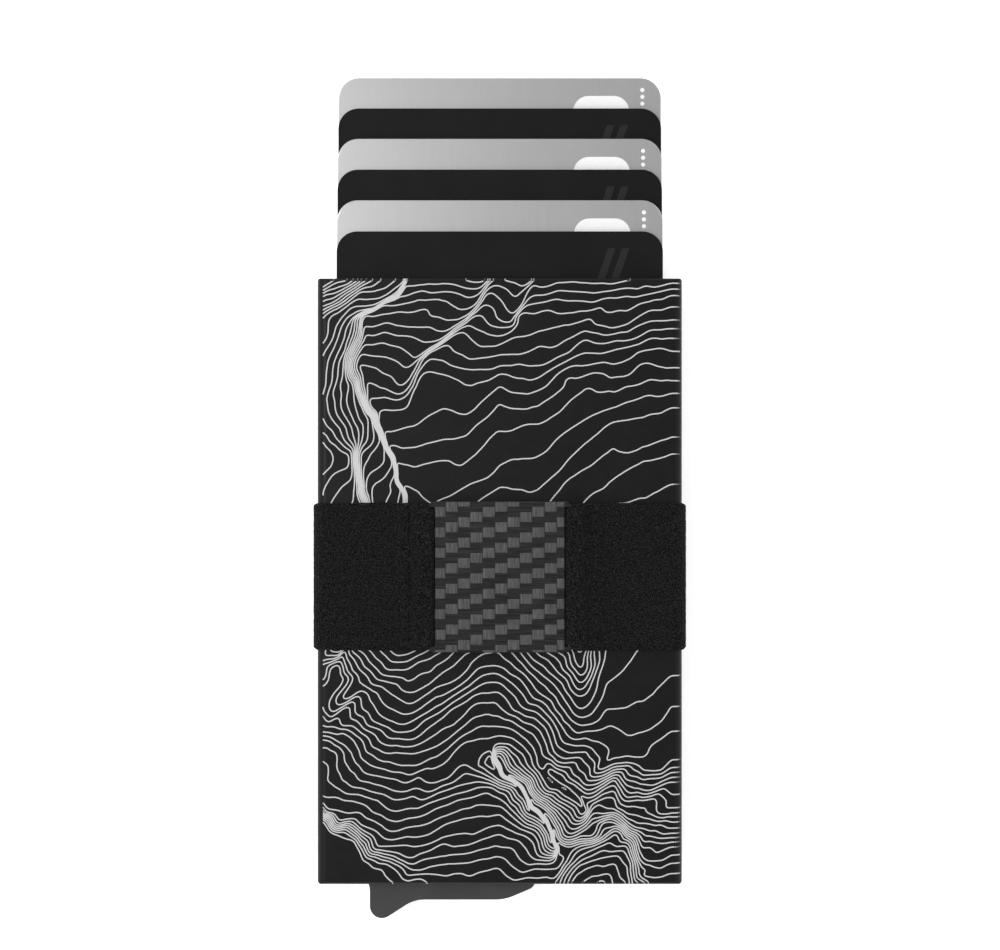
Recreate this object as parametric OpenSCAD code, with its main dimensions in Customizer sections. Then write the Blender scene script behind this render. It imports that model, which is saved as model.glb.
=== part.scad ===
// Pop-up card wallet: a flat aluminium tube holds six cards, a sprung lever in its end
// pushes them out in steps, and an elastic band with a carbon plate goes round it.
// The wallet lies on its back. X runs across it, Y is the way the cards come out, and
// Z rises from its back to its front. The origin is under the middle of the tube, on
// the outer back face of the elastic band.

/* [Housing] */
// Width of the tube
housing_w = 60.2; // [59.8:0.1:61]
// Length of the tube
housing_l = 99.7; // [98:0.1:101]
// Thickness of the tube, front to back
housing_t = 8.6; // [8.4:0.1:9]
// Front and back walls of the tube
wall_t = 1.1; // [0.9:0.05:1.1]
// Radius of the tube's four long outer edges
edge_r = 1.6; // [1:0.1:2]
// Chamfer round the tube's two ends
end_chamfer = 0.3; // [0.1:0.05:0.5]

/* [Cards] */
// Height of a bank card, along Y
card_h = 85.6; // [85.4:0.1:85.7]
// Width of a bank card
card_w = 53.98; // [53.9:0.01:54.1]
// Thickness of a bank card
card_t = 0.76; // [0.7:0.01:0.8]
// Corner radius of a bank card
card_r = 3.4; // [2.9:0.02:3.4]
// Distance between the middles of neighbouring cards
card_pitch = 0.88; // [0.86:0.01:0.9]
// How far the front card stands out of the tube when the cards are fanned
first_out = 7.95; // [7:0.05:9]
// How much further each card behind it stands out
fan_step = 5.25; // [5:0.05:5.3]

/* [Lever] */
// Pivot's distance left of the middle
pivot_left = 21.5; // [21.3:0.1:21.7]
// Pivot's height above the tube's bottom end
pivot_up = 4.85; // [4.8:0.05:4.9]
// Slope of the lever's arms at rest, in degrees
arm_slope = 7; // [6.5:0.1:7]
// Turn of the lever from rest to its stop, in degrees
lever_turn = 62; // [55:1:62]
// Half the width of a blade's arm
arm_r = 2.5; // [2.3:0.05:2.5]
// Radius of the lever's hub
hub_r = 3.6; // [3.2:0.1:3.6]
// Radius of the steel pivot pin
pin_r = 1.2; // [1:0.05:1.3]

/* [Elastic band] */
// Width of the elastic, along Y
band_w = 24.2; // [23:0.1:26]
// Thickness of the elastic
band_t = 0.6; // [0.5:0.05:0.6]
// Slack between the elastic and the tube
band_gap = 0.1; // [0.05:0.01:0.15]
// Height of the band's middle above the tube's middle
band_up = 0.8; // [-5:0.1:5]

/* [Carbon plate] */
// Width of the plate, with the bars that the elastic hides
plate_w = 26.4; // [26:0.1:27]
// Height of the plate, along Y
plate_h = 24.8; // [24.6:0.1:25.4]
// Thickness of the plate
plate_t = 0.8; // [0.7:0.05:0.9]

/* [Hidden] */
card_count = 6;
$fn = 64;

// Heights of the tube's faces above the surface that the wallet lies on
back_z = band_t + band_gap;
front_z = back_z + housing_t;
cavity_back = back_z + wall_t;
cavity_front = front_z - wall_t;
mid_z = (back_z + front_z) / 2;

// The tube's two ends and its cavity
end_y = housing_l / 2;
cavity_w = card_w + 0.92;
cavity_r = 0.5;

// Felt strips, glued to the front and back walls
felt_t = 0.5;
felt_w = 9;
felt_x = 18.5;
felt_low = -27;
felt_high = 46;

// The end insert: a floor with a slot for the lever, two posts and two ears
insert_slack = 0.05;
floor_t = 2.25;
slot_left = -22.6;
slot_right = 7.2;
left_post_x = -25.4;
right_post_x = 24.6;
post_top = -36.7;
ear_t = 0.45;
ear_right = -15;
ear_top = -40.3;
stop_x = 17;
stop_w = 3;
stop_gap = 0.06;
hub_room = 0.15;

// The lever: pivot, and one step for each card
pivot = [-pivot_left, -end_y + pivot_up];
tip_gap = 0.3;
running_gap = 0.05;
rivet_gap = 0.02;
spring_steps = 2;
blade_start = 4.6;
arm_rivets = [7.5, 13];
arm_rivet_r = 0.75;
grip_rivets = [[-14.5, -48], [-8, -47.6]];
grip_rivet_r = 0.6;
tongue = [[-17, -49.2], [-4, -49.2]];
tongue_steps = [4, 5];
tongue_gap = 0.03;

// The grip's outline below the arms: a hollow left side, a round nub, a ramp that runs
// out into a flat, a curve and a round tip
nub_r = 2;
nub = [-19.6, -54.2];
hollow_r = 3.2;
hollow_end = 34;
hollow_y = -51.65;
ramp_slope = 33;
ramp_out_r = 6;
flat_y = -53.1;
flat_end = -0.68;
curve_r = 7.5;
curve_slope = 25;
tip_r = 1.6;
tip = [4.3, -49.9];

// The return spring: a coil round the pin, a leg in the floor and a leg along the arm
wire_r = 0.2;
coil_r = 2.75;
coil_turns = 3.25;
coil_pitch = 0.41;
coil_gap = 0.04;
floor_leg = 4;
arm_leg = 8.5;
leg_hole_r = 0.26;

// The plate and the elastic's route over it
plate_z = front_z + band_gap + band_t + 0.05;
plate_flat = 11;
plate_chamfer = 1.5;
slot_in = 10.65;
slot_out = 11.45;
slot_l = 22.8;
layer_gap = 0.05;
under_z = front_z + band_gap + band_t / 2;
middle_z = under_z + band_t + layer_gap;
over_z = plate_z + plate_t + 0.03 + band_t / 2;
fold_x = (slot_in + slot_out) / 2;
fold_end = 15.9;
stitch_x = 15.1;
stitch_count = 11;
stitch_pitch = 2;
stitch_size = [0.35, 1.3, 0.12];

// Middle height of a card, and how far it stands out of the tube
function card_z(i) = mid_z + ((card_count + 1) / 2 - i) * card_pitch;
function card_top(i) = end_y + first_out + (i - 1) * fan_step;
// Distance from the pivot to the middle of a blade's round tip
function arm_length(i) =
    (card_top(i) - card_h - pivot[1] - arm_r - tip_gap) / sin(arm_slope + lever_turn);
// Height of the spring's lowest turn
spring_z = card_z(spring_steps + 1) + card_pitch / 2 + wire_r + coil_gap;
// Height of the arms' lower edge at x, with the lever at rest
function arm_low(x) = pivot[1] + (x - pivot[0]) * tan(arm_slope) - arm_r / cos(arm_slope);
// Points along an arc
function arc(centre, r, from, to, n = 12) =
    [for (k = [0:n]) let(a = from + (to - from) * k / n) centre + r * [cos(a), sin(a)]];

function unit(v) = v / norm(v);
function leftwards(v) = [-v[1], v[0]];
function leg(path, k) = unit(path[k + 1] - path[k]);
// Offset that keeps a strip's thickness where its path turns at point k
function mitre(path, k) =
    let(
        before = leftwards(leg(path, max(k - 1, 0))),
        after = leftwards(leg(path, min(k, len(path) - 2))),
        middle = unit(before + after)
    )
    middle / (middle * before);

module strip(path, thickness) {
    last = len(path) - 1;
    polygon(concat(
        [for (k = [0:last]) path[k] + mitre(path, k) * thickness / 2],
        [for (k = [last:-1:0]) path[k] - mitre(path, k) * thickness / 2]
    ));
}

module rounded_rect(w, h, r) {
    square([w - 2 * r, h], center = true);
    square([w, h - 2 * r], center = true);
    for (x = [-1, 1], y = [-1, 1])
        translate([x * (w / 2 - r), y * (h / 2 - r)]) circle(r);
}

// A flat XZ shape carried along Y
module along_y(from, to) {
    translate([0, to, 0]) rotate([90, 0, 0]) linear_extrude(to - from) children();
}

module block(low, high) {
    translate(low) cube(high - low);
}

// Wedges that take the chamfer off the tube's ends, on its four sides
module end_wedges() {
    c = end_chamfer;
    big = 2 * c;
    for (end = [0, 1]) mirror([0, end, 0]) {
        for (side = [0, 1]) {
            translate([0, 0, mid_z]) mirror([0, 0, side]) translate([-housing_w, end_y, housing_t / 2])
                rotate([0, 90, 0])
                linear_extrude(2 * housing_w) polygon([[c, big - c], [-big, big - c], [-big, -c], [0, -c], [c, 0]]);
            mirror([side, 0, 0]) translate([housing_w / 2, end_y, mid_z - housing_t])
                linear_extrude(2 * housing_t) polygon([[-c, big - c], [big, big - c], [big, -c], [0, -c], [-c, 0]]);
        }
    }
}

module housing() {
    color("#26272b") difference() {
        along_y(-end_y, end_y) translate([0, mid_z]) rounded_rect(housing_w, housing_t, edge_r);
        along_y(-end_y - 1, end_y + 1) translate([0, mid_z])
            rounded_rect(cavity_w, cavity_front - cavity_back, cavity_r);
        end_wedges();
    }
}

module end_insert() {
    low = cavity_back + insert_slack;
    high = cavity_front - insert_slack;
    side = cavity_w / 2 - insert_slack;
    color("#1b1b1d") intersection() {
        along_y(-end_y, post_top) translate([0, mid_z]) rounded_rect(2 * side, high - low, cavity_r);
        difference() {
            union() {
                block([-side, -end_y, low], [side, -end_y + floor_t, high]);
                block([-side, -end_y, low], [left_post_x, post_top, high]);
                block([right_post_x, -end_y, low], [side, post_top, high]);
                block([-side, -end_y, low], [ear_right, ear_top, low + ear_t]);
                block([-side, -end_y, high - ear_t], [ear_right, ear_top, high]);
                block([stop_x, -end_y, low], [stop_x + stop_w, arm_low(stop_x) - stop_gap, high]);
            }
            block([slot_left, -end_y - 1, low + ear_t], [slot_right, -end_y + floor_t + 1, high - ear_t]);
            translate([pivot[0], pivot[1], 0]) cylinder(r = pin_r + rivet_gap, h = front_z);
            translate([pivot[0], pivot[1], low + ear_t])
                cylinder(r = hub_r + hub_room, h = high - low - 2 * ear_t);
            translate([pivot[0] - coil_r, pivot[1], spring_z]) rotate([90, 0, 0])
                cylinder(r = leg_hole_r, h = floor_leg + leg_hole_r, $fn = 24);
        }
    }
}

module pivot_pin() {
    low = cavity_back + insert_slack;
    color("#c4c6c8") translate([pivot[0], pivot[1], low])
        cylinder(r = pin_r, h = cavity_front - insert_slack - low);
}

// The wire starts in the floor, winds round the pin and ends along the arm's upper edge
module return_spring() {
    steps = 24;
    coil = [
        for (k = [0:coil_turns * steps])
            let(share = k / (coil_turns * steps), a = 180 - share * (360 * coil_turns - arm_slope))
            [coil_r * cos(a), coil_r * sin(a), spring_z + coil_pitch * coil_turns * share]
    ];
    top = spring_z + coil_pitch * coil_turns;
    wire = concat(
        [[-coil_r, -floor_leg, spring_z]],
        coil,
        [coil_r * [-sin(arm_slope), cos(arm_slope), 0] + arm_leg * [cos(arm_slope), sin(arm_slope), 0]
            + [0, 0, top]]
    );
    color("#9fa2a6") translate([pivot[0], pivot[1], 0]) tube(wire, wire_r);
}

// A round wire along a path that never runs straight up
module tube(path, r, sides = 8) {
    count = len(path);
    rings = [
        for (k = [0:count - 1])
            let(
                ahead = unit(path[min(k + 1, count - 1)] - path[max(k - 1, 0)]),
                across = unit(cross(ahead, [0, 0, 1])),
                up = cross(across, ahead)
            )
            for (s = [0:sides - 1])
                path[k] + r * (cos(360 * s / sides) * across + sin(360 * s / sides) * up)
    ];
    skin = [
        for (k = [0:count - 2], s = [0:sides - 1])
            let(a = k * sides + s, b = k * sides + (s + 1) % sides)
            [a, b, b + sides, a + sides]
    ];
    caps = [
        [for (s = [sides - 1:-1:0]) s],
        [for (s = [0:sides - 1]) (count - 1) * sides + s]
    ];
    polyhedron(rings, concat(skin, caps), convexity = 8);
}

module felt(side, z) {
    color("#3b3d42") block(
        [side * felt_x - felt_w / 2, felt_low, z],
        [side * felt_x + felt_w / 2, felt_high, z + felt_t]
    );
}

// The grip's flat outline, up to the arms' lower edge
module grip_outline() {
    ramp_start = nub + nub_r * [sin(ramp_slope), -cos(ramp_slope)];
    ramp_corner = ramp_start + (flat_y - ramp_start[1]) * [1 / tan(ramp_slope), 1];
    hollow = [nub[0] - nub_r - hollow_r, hollow_y];
    left = hollow[0] + hollow_r * cos(hollow_end);
    right = tip[0] + tip_r;
    polygon(concat(
        [[left, arm_low(left)]],
        arc(hollow, hollow_r, hollow_end, 0),
        arc(nub, nub_r, 180, 270 + ramp_slope),
        arc(ramp_corner + ramp_out_r * [tan(ramp_slope / 2), -1], ramp_out_r, 90 + ramp_slope, 90),
        arc([flat_end, flat_y + curve_r], curve_r, 270, 270 + curve_slope),
        arc(tip, tip_r, 270 + curve_slope, 360),
        [[right, arm_low(right) - rivet_gap]]
    ));
}

// The grip fills the layers behind the spring's, so that at its full turn it stays behind
// the front cards, which stand lowest
module lever_grip() {
    low = card_z(card_count) - card_pitch / 2;
    high = card_z(spring_steps + 1) + card_pitch / 2;
    pocket_low = card_z(tongue_steps[1]) - card_pitch / 2 - tongue_gap;
    pocket_high = card_z(tongue_steps[0]) + card_pitch / 2 + tongue_gap;
    color("#45474c") difference() {
        translate([0, 0, low]) linear_extrude(high - low) difference() {
            grip_outline();
            arm_shape(tip[0] + tip_r - pivot[0], arm_r + rivet_gap);
        }
        translate([pivot[0], pivot[1], low - 1])
            cylinder(r = hub_r + running_gap, h = front_z);
        translate([0, 0, pocket_low]) linear_extrude(pocket_high - pocket_low)
            tongue_outline(tongue_gap);
        for (at = grip_rivets)
            translate([at[0], at[1], low - 1]) cylinder(r = grip_rivet_r + rivet_gap, h = front_z);
    }
}

// The tongue by which the middle blades sit in the grip
module tongue_outline(gap = 0) {
    left = tongue[0] + [-gap, -gap];
    right = tongue[1] + [gap, -gap];
    polygon([
        left, right,
        [right[0], arm_low(right[0]) + arm_r / 2], [left[0], arm_low(left[0]) + arm_r / 2]
    ]);
}

// A straight arm with a round tip, turned to its slope at rest
module arm_shape(l, r, start = 0) {
    translate(pivot) rotate(arm_slope) {
        translate([start, -r]) square([l - start, 2 * r]);
        translate([l, 0]) circle(r);
    }
}

// One step of the lever. The front blades leave room for the spring round the pin
module fan_blade(i) {
    hub = i > spring_steps;
    color("#8e9196") translate([0, 0, card_z(i) - card_pitch / 2]) difference() {
        linear_extrude(card_pitch) {
            arm_shape(arm_length(i), arm_r, hub ? 0 : blade_start);
            if (hub) translate(pivot) circle(hub_r);
            if (len(search(i, tongue_steps)) > 0) tongue_outline();
        }
        if (hub) translate([pivot[0], pivot[1], -1]) cylinder(r = pin_r + running_gap, h = 3);
        for (at = arm_rivets)
            translate([pivot[0], pivot[1], -1]) rotate(arm_slope) translate([at, 0, 0])
                cylinder(r = arm_rivet_r + rivet_gap, h = 3);
        if (len(search(i, tongue_steps)) > 0)
            for (at = grip_rivets)
                translate([at[0], at[1], -1]) cylinder(r = grip_rivet_r + rivet_gap, h = 3);
    }
}

module lever_rivets() {
    low = card_z(card_count) - card_pitch / 2;
    grip_t = (card_count - spring_steps) * card_pitch;
    color("#c4c6c8") {
        for (at = arm_rivets)
            translate([pivot[0], pivot[1], low]) rotate(arm_slope) translate([at, 0, 0])
                cylinder(r = arm_rivet_r, h = card_count * card_pitch);
        for (at = grip_rivets)
            translate([at[0], at[1], low]) cylinder(r = grip_rivet_r, h = grip_t);
    }
}

module card(i) {
    color(i % 2 == 1 ? "#2a2b2e" : "#c3c4c6")
        translate([0, card_top(i) - card_h / 2, card_z(i) - card_t / 2])
        linear_extrude(card_t) rounded_rect(card_w, card_h, card_r);
}

// The elastic's middle line on one side: from the middle of the back, round the tube,
// over the plate's bar, down through its slot and back under the bar
function half_band(side) =
    let(
        corner_x = housing_w / 2 - edge_r,
        r = edge_r + back_z - band_t / 2,
        half = concat(
            [[0, band_t / 2]],
            arc([corner_x, back_z + edge_r], r, -90, 0, 6),
            arc([corner_x, front_z - edge_r], r, 0, 90, 6),
            [
                [fold_end + 1.1, under_z], [fold_end + 0.3, middle_z],
                [plate_w / 2 + 1.15, middle_z], [plate_w / 2 + 0.35, over_z],
                [fold_x, over_z], [fold_x, under_z], [fold_end, under_z]
            ]
        )
    )
    [for (p = half) [side * p[0], p[1]]];

module elastic_band() {
    right = half_band(1);
    left = half_band(-1);
    path = concat([for (k = [len(left) - 1:-1:1]) left[k]], [for (k = [1:len(right) - 1]) right[k]]);
    low = band_up - band_w / 2;
    high = band_up + band_w / 2;
    pinch = (slot_l - band_w) / 2 - 0.2;
    color("#232325") difference() {
        along_y(low, high) strip(path, band_t);
        // the elastic narrows where it goes through the slots
        for (side = [0, 1]) mirror([side, 0, 0]) for (y = [low - 1, high + pinch])
            block([0, y, plate_z - 0.03], [slot_out + 0.1, y + 1 - pinch, plate_z + plate_t + 0.03]);
    }
}

module strap_plate() {
    x = plate_w / 2;
    y = plate_h / 2;
    corner = [
        [x, -y + plate_chamfer], [x, y - plate_chamfer], [plate_flat, y],
        [-plate_flat, y], [-x, y - plate_chamfer], [-x, -y + plate_chamfer],
        [-plate_flat, -y], [plate_flat, -y]
    ];
    color("#4d4f54") translate([0, band_up, plate_z]) linear_extrude(plate_t) difference() {
        polygon(corner);
        for (side = [-1, 1])
            translate([side * fold_x, 0]) square([slot_out - slot_in, slot_l], center = true);
    }
}

// One row of thread on each side, through the two layers of elastic
module stitching() {
    top = middle_z + band_t / 2;
    color("#303033")
        for (side = [-1, 1], k = [0:stitch_count - 1])
            translate([
                side * stitch_x, band_up + (k - (stitch_count - 1) / 2) * stitch_pitch,
                top + stitch_size[2] / 2
            ])
                cube(stitch_size, center = true);
}

housing();
end_insert();
pivot_pin();
return_spring();
felt(-1, cavity_front - felt_t);  // felt_front_left
felt(1, cavity_front - felt_t);  // felt_front_right
felt(-1, cavity_back);  // felt_back_left
felt(1, cavity_back);  // felt_back_right
lever_grip();
lever_rivets();
for (i = [1:card_count]) fan_blade(i);
for (i = [1:card_count]) card(i);
elastic_band();
strap_plate();
stitching();
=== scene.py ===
"""The looks of the pop-up card wallet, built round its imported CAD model.

The wallet lies on its back, X across it and Y the way the cards come out. Shapes are worked
out in millimetres and turned into metres when their mesh is made.
"""
import math

import bpy
import numpy as np
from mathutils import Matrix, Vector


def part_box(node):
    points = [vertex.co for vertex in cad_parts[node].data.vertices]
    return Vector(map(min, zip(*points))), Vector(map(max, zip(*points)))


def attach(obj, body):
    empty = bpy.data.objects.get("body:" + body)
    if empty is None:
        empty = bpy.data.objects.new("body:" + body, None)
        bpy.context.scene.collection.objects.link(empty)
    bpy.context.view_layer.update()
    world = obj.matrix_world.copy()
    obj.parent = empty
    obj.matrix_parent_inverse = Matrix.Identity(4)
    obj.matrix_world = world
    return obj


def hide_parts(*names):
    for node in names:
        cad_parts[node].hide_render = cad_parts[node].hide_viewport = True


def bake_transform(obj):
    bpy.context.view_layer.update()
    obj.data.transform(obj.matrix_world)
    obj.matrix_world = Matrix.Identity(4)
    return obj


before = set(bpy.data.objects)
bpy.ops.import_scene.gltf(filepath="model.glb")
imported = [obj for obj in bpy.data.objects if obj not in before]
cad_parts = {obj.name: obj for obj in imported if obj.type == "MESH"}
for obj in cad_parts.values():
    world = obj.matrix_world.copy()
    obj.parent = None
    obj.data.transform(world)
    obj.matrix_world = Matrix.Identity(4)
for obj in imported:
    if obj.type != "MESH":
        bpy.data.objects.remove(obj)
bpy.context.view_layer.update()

MM = 0.001


def box_mm(node):
    """A CAD node's lowest and highest corners, in millimetres."""
    return tuple(np.array(corner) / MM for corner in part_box(node))


# Sizes from the CAD model
housing_low, housing_high = box_mm("housing")
plate_low, plate_high = box_mm("strap_plate")
band_low, band_high = box_mm("elastic_band")
front_z = housing_high[2]
half_w, end_y = housing_high[0], housing_high[1]
band_middle = (band_low[1] + band_high[1]) / 2
CARDS = range(1, 7)

# Sizes that the CAD model's boxes don't give
EDGE_R = 1.6
BAND_T = 0.6
BAND_GAP = 0.1
LAYER_GAP = 0.05
BAR_GAP = 0.03
SLOT_IN, SLOT_OUT, SLOT_L = 10.65, 11.45, 22.8
SLOT_MIDDLE = (SLOT_IN + SLOT_OUT) / 2


# ---------------------------------------------------------------- materials


def shade(value):
    """A linear colour from one sRGB grey or three sRGB numbers, of 0 to 255."""
    numbers = np.array(value if hasattr(value, "__len__") else (value,) * 3) / 255
    curve = np.where(numbers <= 0.04045, numbers / 12.92, ((numbers + 0.055) / 1.055) ** 2.4)
    return (*curve, 1)


def spread(tree, value, low, high, to_low, to_high):
    """The value's node output, with low to high spread over to_low to to_high."""
    node = tree.nodes.new("ShaderNodeMapRange")
    tree.links.new(value, node.inputs["Value"])
    numbers = {"From Min": low, "From Max": high, "To Min": to_low, "To Max": to_high}
    for socket, number in numbers.items():
        node.inputs[socket].default_value = number
    return node.outputs[0]


class Look:
    """A material in the making: one shader, and the nodes that feed it."""

    def __init__(self, name, color, roughness, **values):
        self.material = bpy.data.materials.new(name)
        self.material.use_nodes = True
        self.tree = self.material.node_tree
        self.shader = self.tree.nodes["Principled BSDF"]
        self.shader.inputs["Base Color"].default_value = shade(color)
        self.shader.inputs["Roughness"].default_value = roughness
        for key, value in values.items():
            socket = key.replace("_", " ").title().replace("Ior", "IOR")
            self.shader.inputs[socket].default_value = value
        self.place = self.add("TexCoord", output="Object")

    def add(self, kind, output=0, **inputs):
        """A node with its inputs set, or linked where a value is another node's output."""
        node = self.tree.nodes.new("ShaderNode" + kind)
        for key, value in inputs.items():
            socket = node.inputs[key.replace("_", " ")]
            if isinstance(value, bpy.types.NodeSocket):
                self.tree.links.new(value, socket)
            else:
                socket.default_value = value
        return node.outputs[output]

    def noise(self, size, detail, stretch=(1, 1, 1)):
        """Noise from 0 to 1 with spots about size millimetres across, drawn out by stretch."""
        scale = [1 / s for s in stretch]
        vector = self.add("Mapping", Vector=self.place, Scale=scale)
        return self.add("TexNoise", Vector=vector, Scale=1 / (size * MM), Detail=detail)

    def tint(self, factor, dark, light, low=0.3, high=0.7):
        """Colours the surface from dark to light as factor goes from low to high."""
        node = self.tree.nodes.new("ShaderNodeValToRGB")
        for element, place, color in zip(node.color_ramp.elements, (low, high), (dark, light)):
            element.position = place
            element.color = shade(color)
        self.tree.links.new(factor, node.inputs[0])
        self.tree.links.new(node.outputs[0], self.shader.inputs["Base Color"])

    def roughen(self, factor, low, high):
        """Roughness from low to high over the middle of factor's range."""
        value = spread(self.tree, factor, 0.3, 0.7, low, high)
        self.tree.links.new(value, self.shader.inputs["Roughness"])

    def bump(self, height, depth, strength=1.0):
        """Relief of the given depth, in millimetres."""
        normal = self.add("Bump", Height=height, Distance=depth * MM, Strength=strength)
        self.tree.links.new(normal, self.shader.inputs["Normal"])


def anodised():
    """Black anodised aluminium, with the fine grain that blasting leaves."""
    look = Look("anodised_black", 22, 0.40, specular_ior_level=0.13)
    grain = look.noise(0.12, 3)
    look.tint(look.noise(9, 2), 20, 23)
    look.roughen(look.noise(1.5, 4), 0.36, 0.44)
    look.bump(grain, 0.004, 0.5)
    return look.material


def engraved():
    """Bare aluminium that the laser left matt and pale."""
    look = Look("engraved_line", 192, 0.6)
    look.tint(look.noise(0.18, 3), 184, 202)
    look.bump(look.noise(0.08, 2), 0.004)
    return look.material


def card_silver():
    """Silver card stock with a fine upright brushing."""
    look = Look("card_silver", 186, 0.36, metallic=0.8)
    brushed = look.noise(0.07, 2, (1, 90, 1))
    look.tint(brushed, 184, 188)
    look.roughen(brushed, 0.34, 0.38)
    look.bump(brushed, 0.0015, 0.4)
    return look.material


def card_black():
    """Satin black card stock."""
    look = Look("card_black", 22, 0.5, specular_ior_level=0.09)
    look.tint(look.noise(6, 3), 19, 23)
    look.roughen(look.noise(0.6, 3), 0.44, 0.54)
    look.bump(look.noise(0.15, 2), 0.003, 0.6)
    return look.material


def print_ink(name, grey, change):
    """Flat printing ink on a card, lighter and darker by change in places."""
    look = Look(name, grey, 0.45, specular_ior_level=0.15)
    look.tint(look.noise(0.3, 3), grey - change, grey + change)
    return look.material


def chip_gold():
    """Plated contacts of a card's chip."""
    look = Look("chip_gold", (205, 175, 110), 0.3, metallic=1.0)
    look.roughen(look.noise(0.4, 3), 0.22, 0.36)
    return look.material


def lever_plastic():
    """Dark grey moulded plastic with a spark-eroded skin."""
    look = Look("lever_plastic", 58, 0.5, specular_ior_level=0.3)
    look.tint(look.noise(5, 3), 55, 60)
    look.roughen(look.noise(0.5, 3), 0.46, 0.56)
    look.bump(look.noise(0.11, 2), 0.01, 0.7)
    return look.material


def black_plastic():
    """Moulded black plastic of the parts inside."""
    look = Look("black_plastic", 26, 0.5)
    look.tint(look.noise(3, 3), 22, 29)
    look.bump(look.noise(0.14, 2), 0.008, 0.6)
    return look.material


def metal(name, grey, roughness, stretch=(1, 1, 1)):
    """Bare metal with fine marks drawn out by stretch."""
    look = Look(name, grey, roughness, metallic=1.0)
    marks = look.noise(0.08, 3, stretch)
    look.tint(marks, grey - 12, grey + 8)
    look.roughen(marks, roughness - 0.08, roughness + 0.08)
    look.bump(marks, 0.003, 0.5)
    return look.material


def felt():
    """Pressed grey felt."""
    look = Look("felt_grey", 58, 0.95, sheen_weight=0.4, sheen_roughness=0.6)
    fibres = look.noise(0.22, 5, (1, 2.4, 1))
    look.tint(fibres, 40, 78)
    look.bump(fibres, 0.12)
    return look.material


def elastic():
    """Fuzzy black knitted elastic."""
    look = Look("elastic_black", 12, 0.95, specular_ior_level=0.1)
    fuzz = look.noise(0.17, 5, (1, 1.25, 1))
    look.tint(fuzz, 3, 60, 0.44, 0.86)
    look.bump(fuzz, 0.15)
    return look.material


def carbon_ground():
    """The tows that run across the plate: fine bright and dark lines along X."""
    look = Look("carbon_across", 30, 0.42, specular_ior_level=0.15)
    fibres = look.noise(0.10, 3, (30, 1, 1))
    look.tint(fibres, 17, 46, 0.36, 0.70)
    look.bump(fibres, 0.01, 0.6)
    return look.material


def carbon_tow():
    """The tows that run up the plate: fine lines along Y."""
    look = Look("carbon_up", 74, 0.40, specular_ior_level=0.15)
    fibres = look.noise(0.10, 3, (1, 24, 1))
    look.tint(fibres, 56, 92, 0.34, 0.7)
    look.bump(fibres, 0.01, 0.6)
    return look.material


def thread():
    """Matt black sewing thread."""
    look = Look("thread_black", 18, 0.9, specular_ior_level=0.1)
    twist = look.noise(0.1, 2, (1, 2, 1))
    look.tint(twist, 12, 30)
    look.bump(twist, 0.05)
    return look.material


# ---------------------------------------------------------------- mesh helpers


def piece(name, points, faces, material, body=None, smooth=True):
    """A mesh piece from points in millimetres, riding on a body if one is named."""
    mesh = bpy.data.meshes.new(name)
    mesh.from_pydata([tuple(p * MM for p in point) for point in points], [], faces)
    mesh.materials.append(material)
    mesh.polygons.foreach_set("use_smooth", [smooth] * len(mesh.polygons))
    made = bpy.data.objects.new(name, mesh)
    bpy.context.scene.collection.objects.link(made)
    if body:
        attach(made, body)
    return made


# An edge is sharp where its faces turn by more than this many degrees
SHARP = 32


def crisp(made, width):
    """Rounds a piece's sharp edges by width millimetres and keeps its flats flat."""
    weld = made.modifiers.new("weld", "WELD")
    weld.merge_threshold = 0.001 * MM
    bevel = made.modifiers.new("bevel", "BEVEL")
    bevel.width = width * MM
    bevel.segments = 2
    bevel.limit_method = "ANGLE"
    bevel.angle_limit = math.radians(SHARP)
    made.modifiers.new("flats", "WEIGHTED_NORMAL")


def dress(node, material, rounding):
    """Gives a CAD node its finish, and rounds its sharp edges."""
    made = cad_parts[node]
    made.data.materials.clear()
    made.data.materials.append(material)
    made.data.polygons.foreach_set("use_smooth", [True] * len(made.data.polygons))
    crisp(made, rounding)


def resampled(line, gap):
    """The same line with its points about gap apart."""
    along = np.concatenate([[0], np.cumsum(np.linalg.norm(np.diff(line, axis=0), axis=1))])
    count = max(round(along[-1] / gap), 1)
    at = np.linspace(0, along[-1], count + 1)
    return np.column_stack([np.interp(at, along, line[:, k]) for k in range(line.shape[1])])


def softened(line, rounds=1):
    """The same line with its corners rounded a little, and its ends where they were."""
    for _ in range(rounds):
        line = np.vstack([line[:1], (line[:-2] + 2 * line[1:-1] + line[2:]) / 4, line[-1:]])
    return line


def sideways(line, closed=False):
    """Unit vectors to the left of a flat line at each of its points."""
    if closed:
        ahead = np.roll(line, -1, axis=0) - np.roll(line, 1, axis=0)
    else:
        ahead = np.gradient(line, axis=0)
    ahead /= np.linalg.norm(ahead, axis=1, keepdims=True)
    return np.column_stack([-ahead[:, 1], ahead[:, 0]])


def skin(rings, count, closed=False, offset=0):
    """Faces round a row of rings of count points each, with end caps unless it closes."""
    faces = []
    for k in range(rings if closed else rings - 1):
        here, there = offset + k * count, offset + (k + 1) % rings * count
        for s in range(count):
            t = (s + 1) % count
            faces.append((here + s, here + t, there + t, there + s))
    if not closed:
        faces.append(tuple(offset + s for s in range(count - 1, -1, -1)))
        faces.append(tuple(offset + (rings - 1) * count + s for s in range(count)))
    return faces


# ---------------------------------------------------------------- the return spring

WIRE_R = 0.2
COIL_TURNS = 3.25
COIL_POINTS = 120
WIRE_SIDES = 12
ARM_SLOPE = math.radians(7)
ARM_END = 0.03


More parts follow.
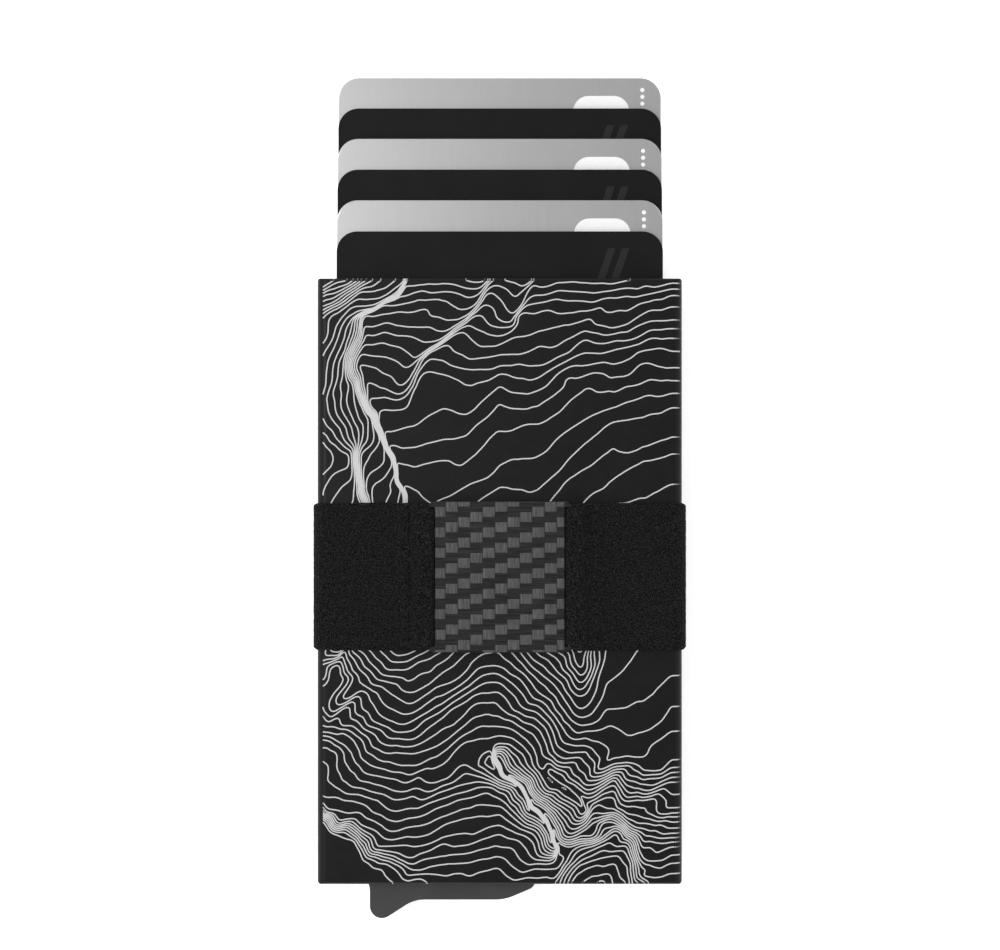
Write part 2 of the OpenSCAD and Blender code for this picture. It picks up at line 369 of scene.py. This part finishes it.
def return_spring(material):
    """The spring's wire in one fixed piece: a leg in the floor, a coil round the pin and a leg
    along the arm, which on the real spring turns with the lever while the floor leg stays."""
    low, high = box_mm("return_spring")
    pin_x, pin_y = (sum(box_mm("pivot_pin")) / 2)[:2]
    coil_r = pin_x - low[0] - WIRE_R
    bottom, top = low[2] + WIRE_R, high[2] - WIRE_R
    share = np.linspace(0, 1, COIL_POINTS)
    angle = math.pi - share * (2 * math.pi * COIL_TURNS - ARM_SLOPE)
    coil_x, coil_y = pin_x + coil_r * np.cos(angle), pin_y + coil_r * np.sin(angle)
    coil = np.column_stack([coil_x, coil_y, bottom + share * (top - bottom)])
    along_arm = np.array([1, math.tan(ARM_SLOPE), 0]) * (high[0] - ARM_END - coil[-1, 0])
    line = np.vstack([[coil[0, 0], low[1], bottom], coil, coil[-1] + along_arm])
    ahead = np.gradient(line, axis=0)
    ahead /= np.linalg.norm(ahead, axis=1, keepdims=True)
    across = np.cross(ahead, (0, 0, 1))
    across /= np.linalg.norm(across, axis=1, keepdims=True)
    up = np.cross(ahead, across)
    turn = np.linspace(0, 2 * math.pi, WIRE_SIDES, endpoint=False)
    rings = [
        at + WIRE_R * (math.cos(t) * a + math.sin(t) * u)
        for at, a, u in zip(line, across, up)
        for t in turn
    ]
    made = piece("spring_wire", rings, skin(len(line), WIRE_SIDES), material)
    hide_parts("return_spring")
    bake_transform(made)


# ---------------------------------------------------------------- the engraved contour map

LINE_W = 0.2
LINE_UP = 0.006
LINE_DOWN = 0.03
LIFT_STEP, LIFT_COUNT = 0.0012, 13
MAP_GRID = 0.24
MAP_END = 0.03
MAP_LEFT_IN, MAP_RIGHT_IN = 1, 0.39
STRAIGHT_FROM = 28.2
END_CHAMFER = 0.3
POINT_GAP = 0.35
SHORTEST = 8
LATTICE, LATTICE_X, LATTICE_Y = 96, 40, 48


def lattice_noise(x, y, cell, seed):
    """Values from -1 to 1 on a square lattice, joined by flat triangles."""
    values = np.random.default_rng(seed).uniform(-1, 1, (LATTICE + 1, LATTICE + 1))
    u, v = x / cell + LATTICE_X, y / cell + LATTICE_Y
    i, j = np.floor(u).astype(int), np.floor(v).astype(int)
    u, v = u - i, v - j
    i, j = i % LATTICE, j % LATTICE
    low, high = values[i, j], values[i + 1, j + 1]
    below = low + u * (values[i + 1, j] - low) + v * (high - values[i + 1, j])
    above = low + v * (values[i, j + 1] - low) + u * (high - values[i, j + 1])
    return np.where(u > v, below, above)


def ease(t):
    """0 below 0 and 1 above 1, smoothly between."""
    t = np.clip(t, 0, 1)
    return t * t * (3 - 2 * t)


def bent(at, places, values, soft=2.0):
    """A smooth curve through values at places, from low to high."""
    shifts = (-soft, -soft / 2, 0, soft / 2, soft)
    return sum(np.interp(at + s, places, values) for s in shifts) / len(shifts)


def cliff(x, y, route, steps, width, reach):
    """A drop of so many steps across a route of (y, x) points, easing off on both sides."""
    ys, xs = np.array(route, float).T
    across = x - np.interp(y, ys, xs)
    beyond = np.clip(np.maximum(ys[0] - y, y - ys[-1]), 0, None)
    strength = np.exp(-((np.hypot(across, 0.6 * beyond) / reach) ** 1.3) - (beyond / 2.2) ** 2)
    return -0.5 * steps * np.tanh(across / width) * strength


def upper_slope(x, y):
    """Wide steps that climb to the right, above a cliff with a steep bank to its left."""
    rise = bent(x, [-20, -5, 8, 13, 19, 25, 30], [-6, 0, 6.5, 10.5, 13.5, 17.5, 18.5])
    h = (y - rise) / 4.6 + 0.011 * np.clip(y - 24, 0, None) ** 2
    edge_y = [10, 14, 21, 29, 36, 44, 47, 50]
    edge = bent(y, edge_y, [-14.5, -15.6, -17.5, -22, -24, -23.5, -18.5, -16], 1)
    h += np.clip(edge - x, 0, None) / 1.15
    width = np.interp(y, [10, 20, 24, 33, 40, 44, 47], [0.9, 0.9, 1.3, 3.4, 3.8, 1.2, 1.0])
    strength = np.interp(y, [10, 20, 33, 40, 45, 50], [6, 8, 8, 7, 6, 5])
    h += strength * (1 - ease((x - edge) / width + 0.5))
    h += cliff(x, y, [(4, -22.2), (16, -22.6), (21, -24)], 9, 1.0, 4)
    h += cliff(x, y, [(32, -15), (37, -13.2), (41, -7), (44, -3.6), (52, -1)], 4, 0.9, 6)
    h += cliff(x, y, [(44, 2), (52, 6.5)], 3, 0.5, 5)
    return h


def lower_slope(x, y):
    """Waves over a ridge with a short cliff, a hill at the lower right, and a bank round an
    empty corner at the lower left."""
    wave = bent(
        x, [-30, -27, -23, -17, -11, -6, -2, 2, 6, 10, 13, 17, 30],
        [9, 4, 0, -3.5, -1.5, 2.5, 5, 3.5, -0.5, -6, -11, -13, -10],
    )
    share = 0.3 + 0.7 * ease((y + 47) / 28)
    plain = ease((x - 12) / 6) * np.clip(y + 29, 0, None)
    h = (y - 0.75 * plain - share * wave) / 1.6
    h += cliff(x, y, [(-43, 9.6), (-36, 4.4), (-30, -0.8)], 11, 0.45, 2.6)
    h += cliff(x, y, [(-37, 15), (-31, 8)], 4, 0.8, 4)
    h += cliff(x, y, [(-15, -28.6), (-9, -25.5)], 6, 0.8, 3)
    h += cliff(x, y, [(-25, -27), (-19, -23.5)], 3, 1.2, 4)
    hill = np.hypot((x - 18) / 7.5, (y + 53) / 14)
    h += 5 * (ease((hill - 0.7) / 0.5) - 1) - 3 * np.exp(-(hill**2))
    bank = bent(x, [-30, -25, -21, -14, -8, 30], [-36, -41, -45, -50, -55, -90])
    return -33 + (h + 33) * ease((y - bank) / 6 + 0.5)


def terrain(x, y):
    """Height in contour steps at a place on the front, in millimetres."""
    x = np.minimum(x, STRAIGHT_FROM)
    bend_x = 1.1 * lattice_noise(x, y, 5.3, 3) + 0.4 * lattice_noise(x, y, 2.1, 5)
    bend_y = 1.1 * lattice_noise(x, y, 4.7, 4) + 0.4 * lattice_noise(x, y, 1.9, 6)
    rough = 1 + 1.1 * ease((x - 13) / 4) * ease((-26 - y) / 4)
    rough += 0.7 * ease((-22 - x) / 4) * ease(-y / 10)
    x, y = x + bend_x * rough, y + bend_y * rough
    share = ease((y + 8) / 18)
    h = share * upper_slope(x, y) + (1 - share) * (lower_slope(x, y) + 4)
    return h + 0.45 * lattice_noise(x, y, 6.1, 7)


# Sides of a grid square that a contour joins, by which of its corners are high
JOINS = {
    1: ["LB"], 2: ["BR"], 3: ["LR"], 4: ["RT"], 5: ["LT", "BR"], 6: ["BT"], 7: ["LT"],
    8: ["LT"], 9: ["BT"], 10: ["LB", "RT"], 11: ["RT"], 12: ["LR"], 13: ["BR"], 14: ["LB"],
}


def crossing(h, xs, ys, level, side):
    """Where the contour crosses one side of the grid, given as (i, j, upright)."""
    i, j, upright = side
    if upright:
        share = (level - h[i, j]) / (h[i, j + 1] - h[i, j])
        return xs[i], ys[j] + share * (ys[1] - ys[0])
    share = (level - h[i, j]) / (h[i + 1, j] - h[i, j])
    return xs[i] + share * (xs[1] - xs[0]), ys[j]


def contour(h, xs, ys, level):
    """The lines along which h crosses a level, by marching squares."""
    high = h > level
    corners = high[:-1, :-1] + 2 * high[1:, :-1] + 4 * high[1:, 1:] + 8 * high[:-1, 1:]
    links = {}
    for i, j in zip(*np.nonzero((corners > 0) & (corners < 15))):
        sides = {"B": (i, j, 0), "T": (i, j + 1, 0), "L": (i, j, 1), "R": (i + 1, j, 1)}
        for a, b in JOINS[int(corners[i, j])]:
            links.setdefault(sides[a], []).append(sides[b])
            links.setdefault(sides[b], []).append(sides[a])
    lines, used = [], set()
    for start in sorted(links, key=lambda side: (len(links[side]), side)):
        if start in used:
            continue
        chain = [start]
        while chain[-1] is not None:
            used.add(chain[-1])
            chain.append(next((side for side in links[chain[-1]] if side not in used), None))
        chain.pop()
        if len(chain) > SHORTEST and start in links[chain[-1]]:
            chain.append(start)
        lines.append(np.array([crossing(h, xs, ys, level, side) for side in chain]))
    return lines


def over_chamfer(line):
    """The line, carried on over the tube's end chamfer where it comes to one."""
    for end in (0, -1):
        x, y = line[end]
        if abs(y) > end_y - END_CHAMFER - 0.001:
            last = [[x, math.copysign(end_y - MAP_END, y)]]
            line = np.vstack([line, last] if end else [last, line])
    return line


def contour_lines():
    """Every contour line of the map, its points evenly spaced."""
    xs = np.arange(-half_w + MAP_LEFT_IN, half_w - MAP_RIGHT_IN, MAP_GRID)
    flat_end = end_y - END_CHAMFER
    ys = np.linspace(-flat_end, flat_end, round(2 * flat_end / MAP_GRID))
    h = terrain(*np.meshgrid(xs, ys, indexing="ij"))
    levels = np.arange(np.floor(h.min()) + 0.5, h.max())
    lines = [line for level in levels for line in contour(h, xs, ys, level)]
    long_lines = [line for line in lines if len(line) > SHORTEST]
    return [over_chamfer(softened(resampled(line, POINT_GAP))) for line in long_lines]


def surface_z(x, y):
    """Height of the tube's front, which falls away over its long edges and its ends."""
    past = max(abs(x) - (half_w - EDGE_R), 0)
    over = max(abs(y) - (end_y - END_CHAMFER), 0)
    return front_z - EDGE_R + math.sqrt(EDGE_R**2 - past**2) - over


def engraving(material):
    """The contour map as flat pale lines, level with the tube's front but for a hair's step
    from each line to the next, so that no two faces coincide where lines merge."""
    points, faces = [], []
    for number, line in enumerate(contour_lines()):
        up = LINE_UP + number % LIFT_COUNT * LIFT_STEP
        closed = len(line) > 3 and np.allclose(line[0], line[-1])
        if closed:
            line = line[:-1]
        left = line + sideways(line, closed) * LINE_W / 2
        right = line - sideways(line, closed) * LINE_W / 2
        faces += skin(len(line), 4, closed, len(points))
        for (ax, ay), (bx, by) in zip(left, right):
            az, bz = surface_z(ax, ay), surface_z(bx, by)
            points += [(ax, ay, az - LINE_DOWN), (bx, by, bz - LINE_DOWN)]
            points += [(bx, by, bz + up), (ax, ay, az + up)]
    piece("engraving", points, faces, material, "frame", smooth=False)


# ---------------------------------------------------------------- the elastic band

# Where the elastic rises over its own folded end and then over the plate's bar
FOLD_END = 15.9
RISE = ((17.0, 0), (16.2, 1), (14.35, 1), (13.55, 2))
BAND_GRID = 0.36
ROUNDING_GRID, ROUNDINGS = 0.15, 6
CORNER_POINTS, ROUND_POINTS = 13, 9
EDGE_WAVES = ((4.5, 0.07), (1.3, 0.035))
FIBRE_WAVE = 0.025
SLOT_SPARE = 0.2
SQUEEZE_END, SQUEEZE_L = 1.1, 0.8
SIDE_START, SIDE_L, SIDE_PINCH = 29.9, 0.9, 0.4


def quarter(x, z, radius, start):
    """Points along a quarter circle round (x, z), from start degrees."""
    angles = np.radians(start + np.linspace(0, 90, CORNER_POINTS))
    return [(x + radius * math.cos(a), z + radius * math.sin(a)) for a in angles]


def band_half():
    """The elastic's middle line in XZ from the middle of the back to its folded end."""
    under = front_z + BAND_GAP + BAND_T / 2
    over = plate_high[2] + BAR_GAP + BAND_T / 2
    heights = (under, under + BAND_T + LAYER_GAP, over)
    corner = half_w - EDGE_R
    radius = EDGE_R + BAND_GAP + BAND_T / 2
    line = [(0, BAND_T / 2)]
    line += quarter(corner, housing_low[2] + EDGE_R, radius, -90)
    line += quarter(corner, front_z - EDGE_R, radius, 0)
    line += [(x, heights[level]) for x, level in RISE]
    line += [(SLOT_MIDDLE, over), (SLOT_MIDDLE, under), (FOLD_END, under)]
    return np.array(line, float)


def band_line():
    """The whole middle line, from one folded end round the back to the other."""
    half = band_half()
    whole = np.vstack([half[:0:-1] * (-1, 1), half])
    return resampled(softened(resampled(whole, ROUNDING_GRID), ROUNDINGS), BAND_GRID)


def band_ring(width):
    """A flat cross-section with round edges: (along Y, out of the sheet), as a closed loop."""
    r = BAND_T / 2
    ys = np.linspace(-width / 2 + r, width / 2 - r, round(width / BAND_GRID))
    turn = np.radians(np.linspace(-90, 90, ROUND_POINTS)[1:-1])
    far = [(width / 2 - r + r * math.cos(a), r * math.sin(a)) for a in turn]
    near = [(-y, -z) for y, z in far]
    return np.array([(y, -r) for y in ys] + far + [(y, r) for y in ys[::-1]] + near)


def wander(random, along, size, reach):
    """A smooth wander of up to reach along a line, with bumps about size apart."""
    knots = np.arange(0, along[-1] + 2 * size, size)
    values = random.uniform(-reach, reach, len(knots))
    return np.interp(along, knots, values)


def elastic_band(material):
    """One strip of knitted elastic round the tube, both ends folded through the plate."""
    random = np.random.default_rng(11)
    line = band_line()
    outwards = -sideways(line)
    width = band_high[1] - band_low[1]
    ring = band_ring(width)
    along = np.arange(len(line)) * BAND_GRID
    edges = [sum(wander(random, along, *wave) for wave in EDGE_WAVES) for _ in range(2)]
    points = []
    for k, ((x, z), (nx, nz)) in enumerate(zip(line, outwards)):
        near_slot = ease((SQUEEZE_END - (abs(x) - SLOT_MIDDLE)) / SQUEEZE_L)
        squeeze = 1 + near_slot * ((SLOT_L - 2 * SLOT_SPARE) / width - 1)
        squeeze -= 2 * SIDE_PINCH / width * ease((abs(x) - SIDE_START) / SIDE_L)
        for y, out in ring:
            edge = ease(abs(2 * y / width)) ** 4
            y_here = y * squeeze + edge * edges[int(y > 0)][k]
            out += FIBRE_WAVE * random.uniform(-1, 1)
            points.append((x + nx * out, band_middle + y_here, z + nz * out))
    faces = skin(len(line), len(ring))
    made = piece("elastic_knit", points, faces, material, "strap")
    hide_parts("elastic_band")


# ---------------------------------------------------------------- stitches and carbon weave

STITCH_X, STITCH_COUNT, STITCH_PITCH = 15.1, 11, 2.0
STITCH_L, STITCH_R = 1.5, 0.19
STITCH_UP, STITCH_SINK, STITCH_TAPER, STITCH_SLANT, STITCH_FLAT = 0.05, 0.28, 0.35, 0.05, 0.7


def stitches(material):
    """Two rows of thread, each stitch sinking into the elastic at its two ends."""
    top = front_z + BAND_GAP + 2 * BAND_T + LAYER_GAP
    steps, sides = 10, 8
    points, faces = [], []
    for side in (-1, 1):
        for k in range(STITCH_COUNT):
            y_middle = band_middle + (k - (STITCH_COUNT - 1) / 2) * STITCH_PITCH
            faces += skin(steps + 1, sides, offset=len(points))
            for s in range(steps + 1):
                share = 2 * s / steps - 1
                y = y_middle + share * STITCH_L / 2
                z = top + STITCH_UP - STITCH_SINK * share**4
                r = STITCH_R * (1 - STITCH_TAPER * share**4)
                for a in np.linspace(0, 2 * math.pi, sides, endpoint=False):
                    x = side * STITCH_X + r * math.cos(a) + STITCH_SLANT * share
                    points.append((x, y, z + STITCH_FLAT * r * math.sin(a)))
    made = piece("stitches", points, faces, material, "strap")
    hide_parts("stitching")


TOW_W = 2.03
TOW_EDGE = 1.25
WEAVE_PITCH = 3.35
WEAVE_STEP = WEAVE_PITCH / 4
WEAVE_START = 8.95
TOW_L = 1.62
TOW_UP = 0.035
TOW_FOOT = 0.02
TOW_GAP = 0.03
WEAVE_MARGIN = 0.12
WEAVE_ROWS = range(-8, 4)
NARROWEST, BRIEFEST = 0.2, 0.15


def weave_patch(x0, x1, y0, y1, y_middle, points, faces):
    """One domed stretch of a tow that runs up the plate, between y0 and y1."""
    columns, rows = 5, 8
    start = len(points)
    for j in range(rows + 1):
        y = y0 + (y1 - y0) * j / rows
        bow = 1 - (2 * (y - y_middle) / TOW_L) ** 2
        for i in range(columns + 1):
            across = 2 * i / columns - 1
            lift = TOW_UP * (0.25 + 0.75 * max(bow, 0) ** 0.5) * (1 - 0.5 * across**4)
            points.append((x0 + (x1 - x0) * i / columns, y, plate_high[2] + lift))
    for j in range(rows):
        for i in range(columns):
            a = start + j * (columns + 1) + i
            faces.append((a, a + 1, a + columns + 2, a + columns + 1))
    rim = [start + i for i in range(columns + 1)]
    rim += [start + j * (columns + 1) + columns for j in range(1, rows + 1)]
    rim += [start + rows * (columns + 1) + i for i in range(columns - 1, -1, -1)]
    rim += [start + j * (columns + 1) for j in range(rows - 1, 0, -1)]
    foot = len(points)
    points += [(points[k][0], points[k][1], plate_high[2] - TOW_FOOT) for k in rim]
    count = len(rim)
    for k in range(count):
        n = (k + 1) % count
        faces.append((rim[k], foot + k, foot + n, rim[n]))
    faces.append(tuple(foot + k for k in range(count - 1, -1, -1)))


def carbon_weave(material):
    """The tows that come to the top of the twill, over the plate's ground of cross tows."""
    low, high = plate_low[1] + WEAVE_MARGIN, plate_high[1] - WEAVE_MARGIN
    points, faces = [], []
    first = math.floor((-SLOT_IN - TOW_EDGE) / TOW_W)
    last = math.ceil((SLOT_IN - TOW_EDGE) / TOW_W)
    for column in range(first, last + 1):
        x0 = max(TOW_EDGE + (column - 1) * TOW_W, -SLOT_IN) + TOW_GAP
        x1 = min(TOW_EDGE + column * TOW_W, SLOT_IN) - TOW_GAP
        if x1 - x0 < NARROWEST:
            continue
        for row in WEAVE_ROWS:
            y = WEAVE_START + column * WEAVE_STEP + row * WEAVE_PITCH
            y0, y1 = max(y - TOW_L / 2, low), min(y + TOW_L / 2, high)
            if y1 - y0 > BRIEFEST:
                weave_patch(x0, x1, y0, y1, y, points, faces)
    piece("carbon_weave", points, faces, material, "strap")


# ---------------------------------------------------------------- printing on the cards

INK = 0.012
PATCH_X, PATCH_DOWN, PATCH_SIDE, PATCH_R = 17.0, 3.0, 9.4, 2.6
DOT_X, DOT_DOWN, DOT_R, DOT_PITCH = 23.9, 2.0, 0.34, 1.15
BAR_LEFT, BAR_RIGHT, BAR_DOWN, BAR_L, BAR_W, BAR_PITCH = 17.9, 23.7, 2.8, 9.0, 1.25, 2.3
BAR_SLANT = 0.35
CHIP_X, CHIP_UP, CHIP_GAP = -3.1, 15.2, 0.28
STRIPE_X, STRIPE_W = -16.6, 12.7


def rounded_rect(x0, y0, x1, y1, r, steps):
    """A rectangle's outline with round corners, anticlockwise."""
    outline = []
    left, right, low, high = x0 + r, x1 - r, y0 + r, y1 - r
    for x, y, start in ((right, low, -90), (right, high, 0), (left, high, 90), (left, low, 180)):
        for a in np.radians(start + np.linspace(0, 90, steps + 1)):
            outline.append((x + r * math.cos(a), y + r * math.sin(a)))
    return outline


def layer(name, outlines, low, high, material, body):
    """Thin flat solids between two heights, as one piece."""
    points, faces = [], []
    for outline in outlines:
        start, count = len(points), len(outline)
        points += [(x, y, low) for x, y in outline] + [(x, y, high) for x, y in outline]
        faces.append(tuple(start + k for k in range(count - 1, -1, -1)))
        faces.append(tuple(start + count + k for k in range(count)))
        for k in range(count):
            n = (k + 1) % count
            faces.append((start + k, start + n, start + count + n, start + count + k))
    piece(name, points, faces, material, body, smooth=False)


def chip_pads(x, y):
    """The outlines of a chip's contacts round (x, y): three on each side of a middle one."""
    pads = []
    half_x, half_y, middle = 5.7, 6.3, 1.7
    pad_r, middle_r, middle_in = 0.5, 0.8, 0.3
    row_h = 2 * half_x / 3
    for side in (-1, 1):
        for row in range(3):
            x0 = x - half_x + row * row_h + CHIP_GAP / 2
            low, high = sorted((y + side * (middle + CHIP_GAP / 2), y + side * half_y))
            pads.append(rounded_rect(x0, low, x0 + row_h - CHIP_GAP, high, pad_r, 3))
    x0, x1 = x - half_x + middle_in, x + half_x - middle_in
    pads.append(rounded_rect(x0, y - middle, x1, y + middle, middle_r, 3))
    return pads


def print_card(i, inks):
    """Plain marks in place of a bank's: a patch and dots on silver, slanting bars on black."""
    name = body = f"card_{i}"
    low, high = box_mm(name)
    top, front, back = high[1], high[2], low[2]
    if i % 2:
        slant = BAR_SLANT * BAR_L
        starts = np.arange(BAR_LEFT, BAR_RIGHT - BAR_W + 0.01, BAR_PITCH)
        y0, y1 = top - BAR_DOWN - BAR_L, top - BAR_DOWN
        lean = [(-slant, y0), (BAR_W - slant, y0), (BAR_W, y1), (0, y1)]
        bars = [[(x + dx, y) for dx, y in lean] for x in starts]
        layer(f"{name}_bars", bars, front - INK, front + INK, inks["tone"], body)
    else:
        x0, y1 = PATCH_X - PATCH_SIDE / 2, top - PATCH_DOWN
        patch = rounded_rect(x0, y1 - PATCH_SIDE, x0 + PATCH_SIDE, y1, PATCH_R, 10)
        layer(f"{name}_patch", [patch], front - INK, front + INK, inks["white"], body)
        places = [top - DOT_DOWN - k * DOT_PITCH for k in range(3)]
        x0, x1, corner = DOT_X - DOT_R, DOT_X + DOT_R, 0.99 * DOT_R
        dots = [rounded_rect(x0, y - DOT_R, x1, y + DOT_R, corner, 4) for y in places]
        layer(f"{name}_dots", dots, front - INK, front + INK, inks["white"], body)
    pads = chip_pads(CHIP_X, low[1] + CHIP_UP)
    layer(f"{name}_chip", pads, front - INK, front + 2 * INK, inks["gold"], body)
    x0, x1 = STRIPE_X - STRIPE_W / 2, STRIPE_X + STRIPE_W / 2
    stripe = [(x0, low[1]), (x1, low[1]), (x1, top), (x0, top)]
    layer(f"{name}_stripe", [stripe], back - INK, back + INK, inks["stripe"], body)


# ---------------------------------------------------------------- the object

black = anodised()
bright_steel = metal("pin_steel", 190, 0.25)
blade_steel = metal("blade_steel", 150, 0.38, (30, 1, 1))
spring_steel = metal("spring_steel", 165, 0.3)
grey_felt = felt()
inner_plastic = black_plastic()
silver, satin_black = card_silver(), card_black()
inks = {
    "white": print_ink("ink_white", 238, 3),
    "tone": print_ink("ink_dark", 34, 2),
    "stripe": print_ink("stripe_black", 24, 2),
    "gold": chip_gold(),
}

dress("housing", black, 0.09)
dress("end_insert", inner_plastic, 0.12)
dress("pivot_pin", bright_steel, 0.1)
dress("lever_rivets", bright_steel, 0.08)
dress("lever_grip", lever_plastic(), 0.3)
dress("strap_plate", carbon_ground(), 0.12)
for corner in ("front_left", "front_right", "back_left", "back_right"):
    dress(f"felt_{corner}", grey_felt, 0.1)
for i in CARDS:
    dress(f"fan_blade_{i}", blade_steel, 0.06)
    dress(f"card_{i}", satin_black if i % 2 else silver, 0.04)
    print_card(i, inks)

return_spring(spring_steel)
engraving(engraved())
elastic_band(elastic())
stitches(thread())
carbon_weave(carbon_tow())


# ---------------------------------------------------------------- floor, light and camera

# Heights of a direction, 1 being straight up, between which the sky dims
SKY_FROM, SKY_TO = 0.80, 0.97
FLOOR_DROP = 0.0003


def floor():
    """A plain pale floor under the wallet."""
    bpy.ops.mesh.primitive_plane_add(size=6, location=(0, 0, -FLOOR_DROP))
    made = bpy.context.object
    made.name = "floor"
    look = Look("floor_white", 250, 0.9, specular_ior_level=0.1, emission_strength=0.5)
    look.tint(look.noise(40, 2), 249, 252)
    made.data.materials.append(look.material)


def sky(low, high):
    """Soft light from all round, of strength low at the horizon and high overhead."""
    world = bpy.data.worlds.new("studio")
    world.use_nodes = True
    nodes, links = world.node_tree.nodes, world.node_tree.links
    split = nodes.new("ShaderNodeSeparateXYZ")
    links.new(nodes.new("ShaderNodeTexCoord").outputs["Generated"], split.inputs[0])
    strength = spread(world.node_tree, split.outputs["Z"], SKY_FROM, SKY_TO, low, high)
    nodes["Background"].inputs["Color"].default_value = (1, 1, 1, 1)
    links.new(strength, nodes["Background"].inputs["Strength"])
    bpy.context.scene.world = world


def lamp(name, place, size, power):
    """A square soft light, in metres and watts, facing the middle of the wallet."""
    data = bpy.data.lights.new(name, "AREA")
    data.size, data.energy = size, power
    made = bpy.data.objects.new(name, data)
    made.location = place
    made.rotation_euler = (-made.location).to_track_quat("-Z", "Y").to_euler()
    bpy.context.scene.collection.objects.link(made)


def camera(x, y, height, lens):
    """A camera straight above the wallet's front, its top towards +Y."""
    data = bpy.data.cameras.new("camera")
    data.lens, data.sensor_width = lens, 36
    data.clip_start, data.clip_end = 0.01, 100
    made = bpy.data.objects.new("camera", data)
    made.location = (x, y, height)
    bpy.context.scene.collection.objects.link(made)
    bpy.context.scene.camera = made


floor()
sky(1.05, 0.16)
lamp("left_light", (-0.42, 0.12, 0.9), 0.35, 3.6)
camera(0.00004, 0.0175, 0.3292, 70)
bpy.context.scene.view_settings.view_transform = "Standard"
